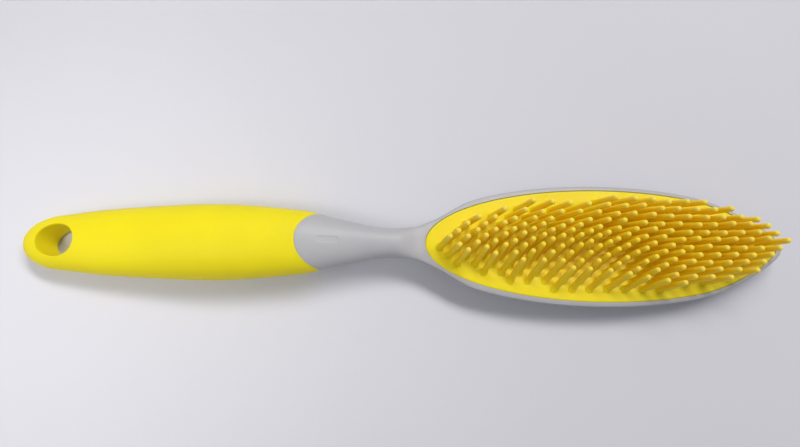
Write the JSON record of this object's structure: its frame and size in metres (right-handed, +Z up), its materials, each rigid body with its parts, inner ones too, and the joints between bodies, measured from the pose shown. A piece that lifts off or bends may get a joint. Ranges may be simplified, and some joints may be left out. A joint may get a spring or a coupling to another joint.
{
  "type": "scalp massager brush",
  "caption": "Long-handled scalp massager brush with an oval head of soft swept bristles, a slim neck and a soft grip with a hanging hole.",
  "frame": {"origin": "on the table under the middle of the brush, at the bottom centre of its bounding box", "axes": "+X along the brush from the handle to the head, +Z up through the bristles, +Y across"},
  "size_m": [0.2519, 0.0398, 0.023],
  "materials": {
    "frame_plastic": "satin light grey moulded polypropylene",
    "grip_rubber": "soft-touch matt yellow elastomer",
    "plate_plastic": "natural white moulded polypropylene, hidden inside the head",
    "pad_rubber": "soft silicone, yellow, slightly glossy bristle tips",
    "cover_plastic": "satin light grey moulded polypropylene"
  },
  "bodies": {
    "root": {"frame": "frame_plastic", "grip_sleeve": "grip_rubber", "pad_plate": "plate_plastic", "bristle_pad": "pad_rubber", "back_cover": "cover_plastic"}
  },
  "joints": []
}
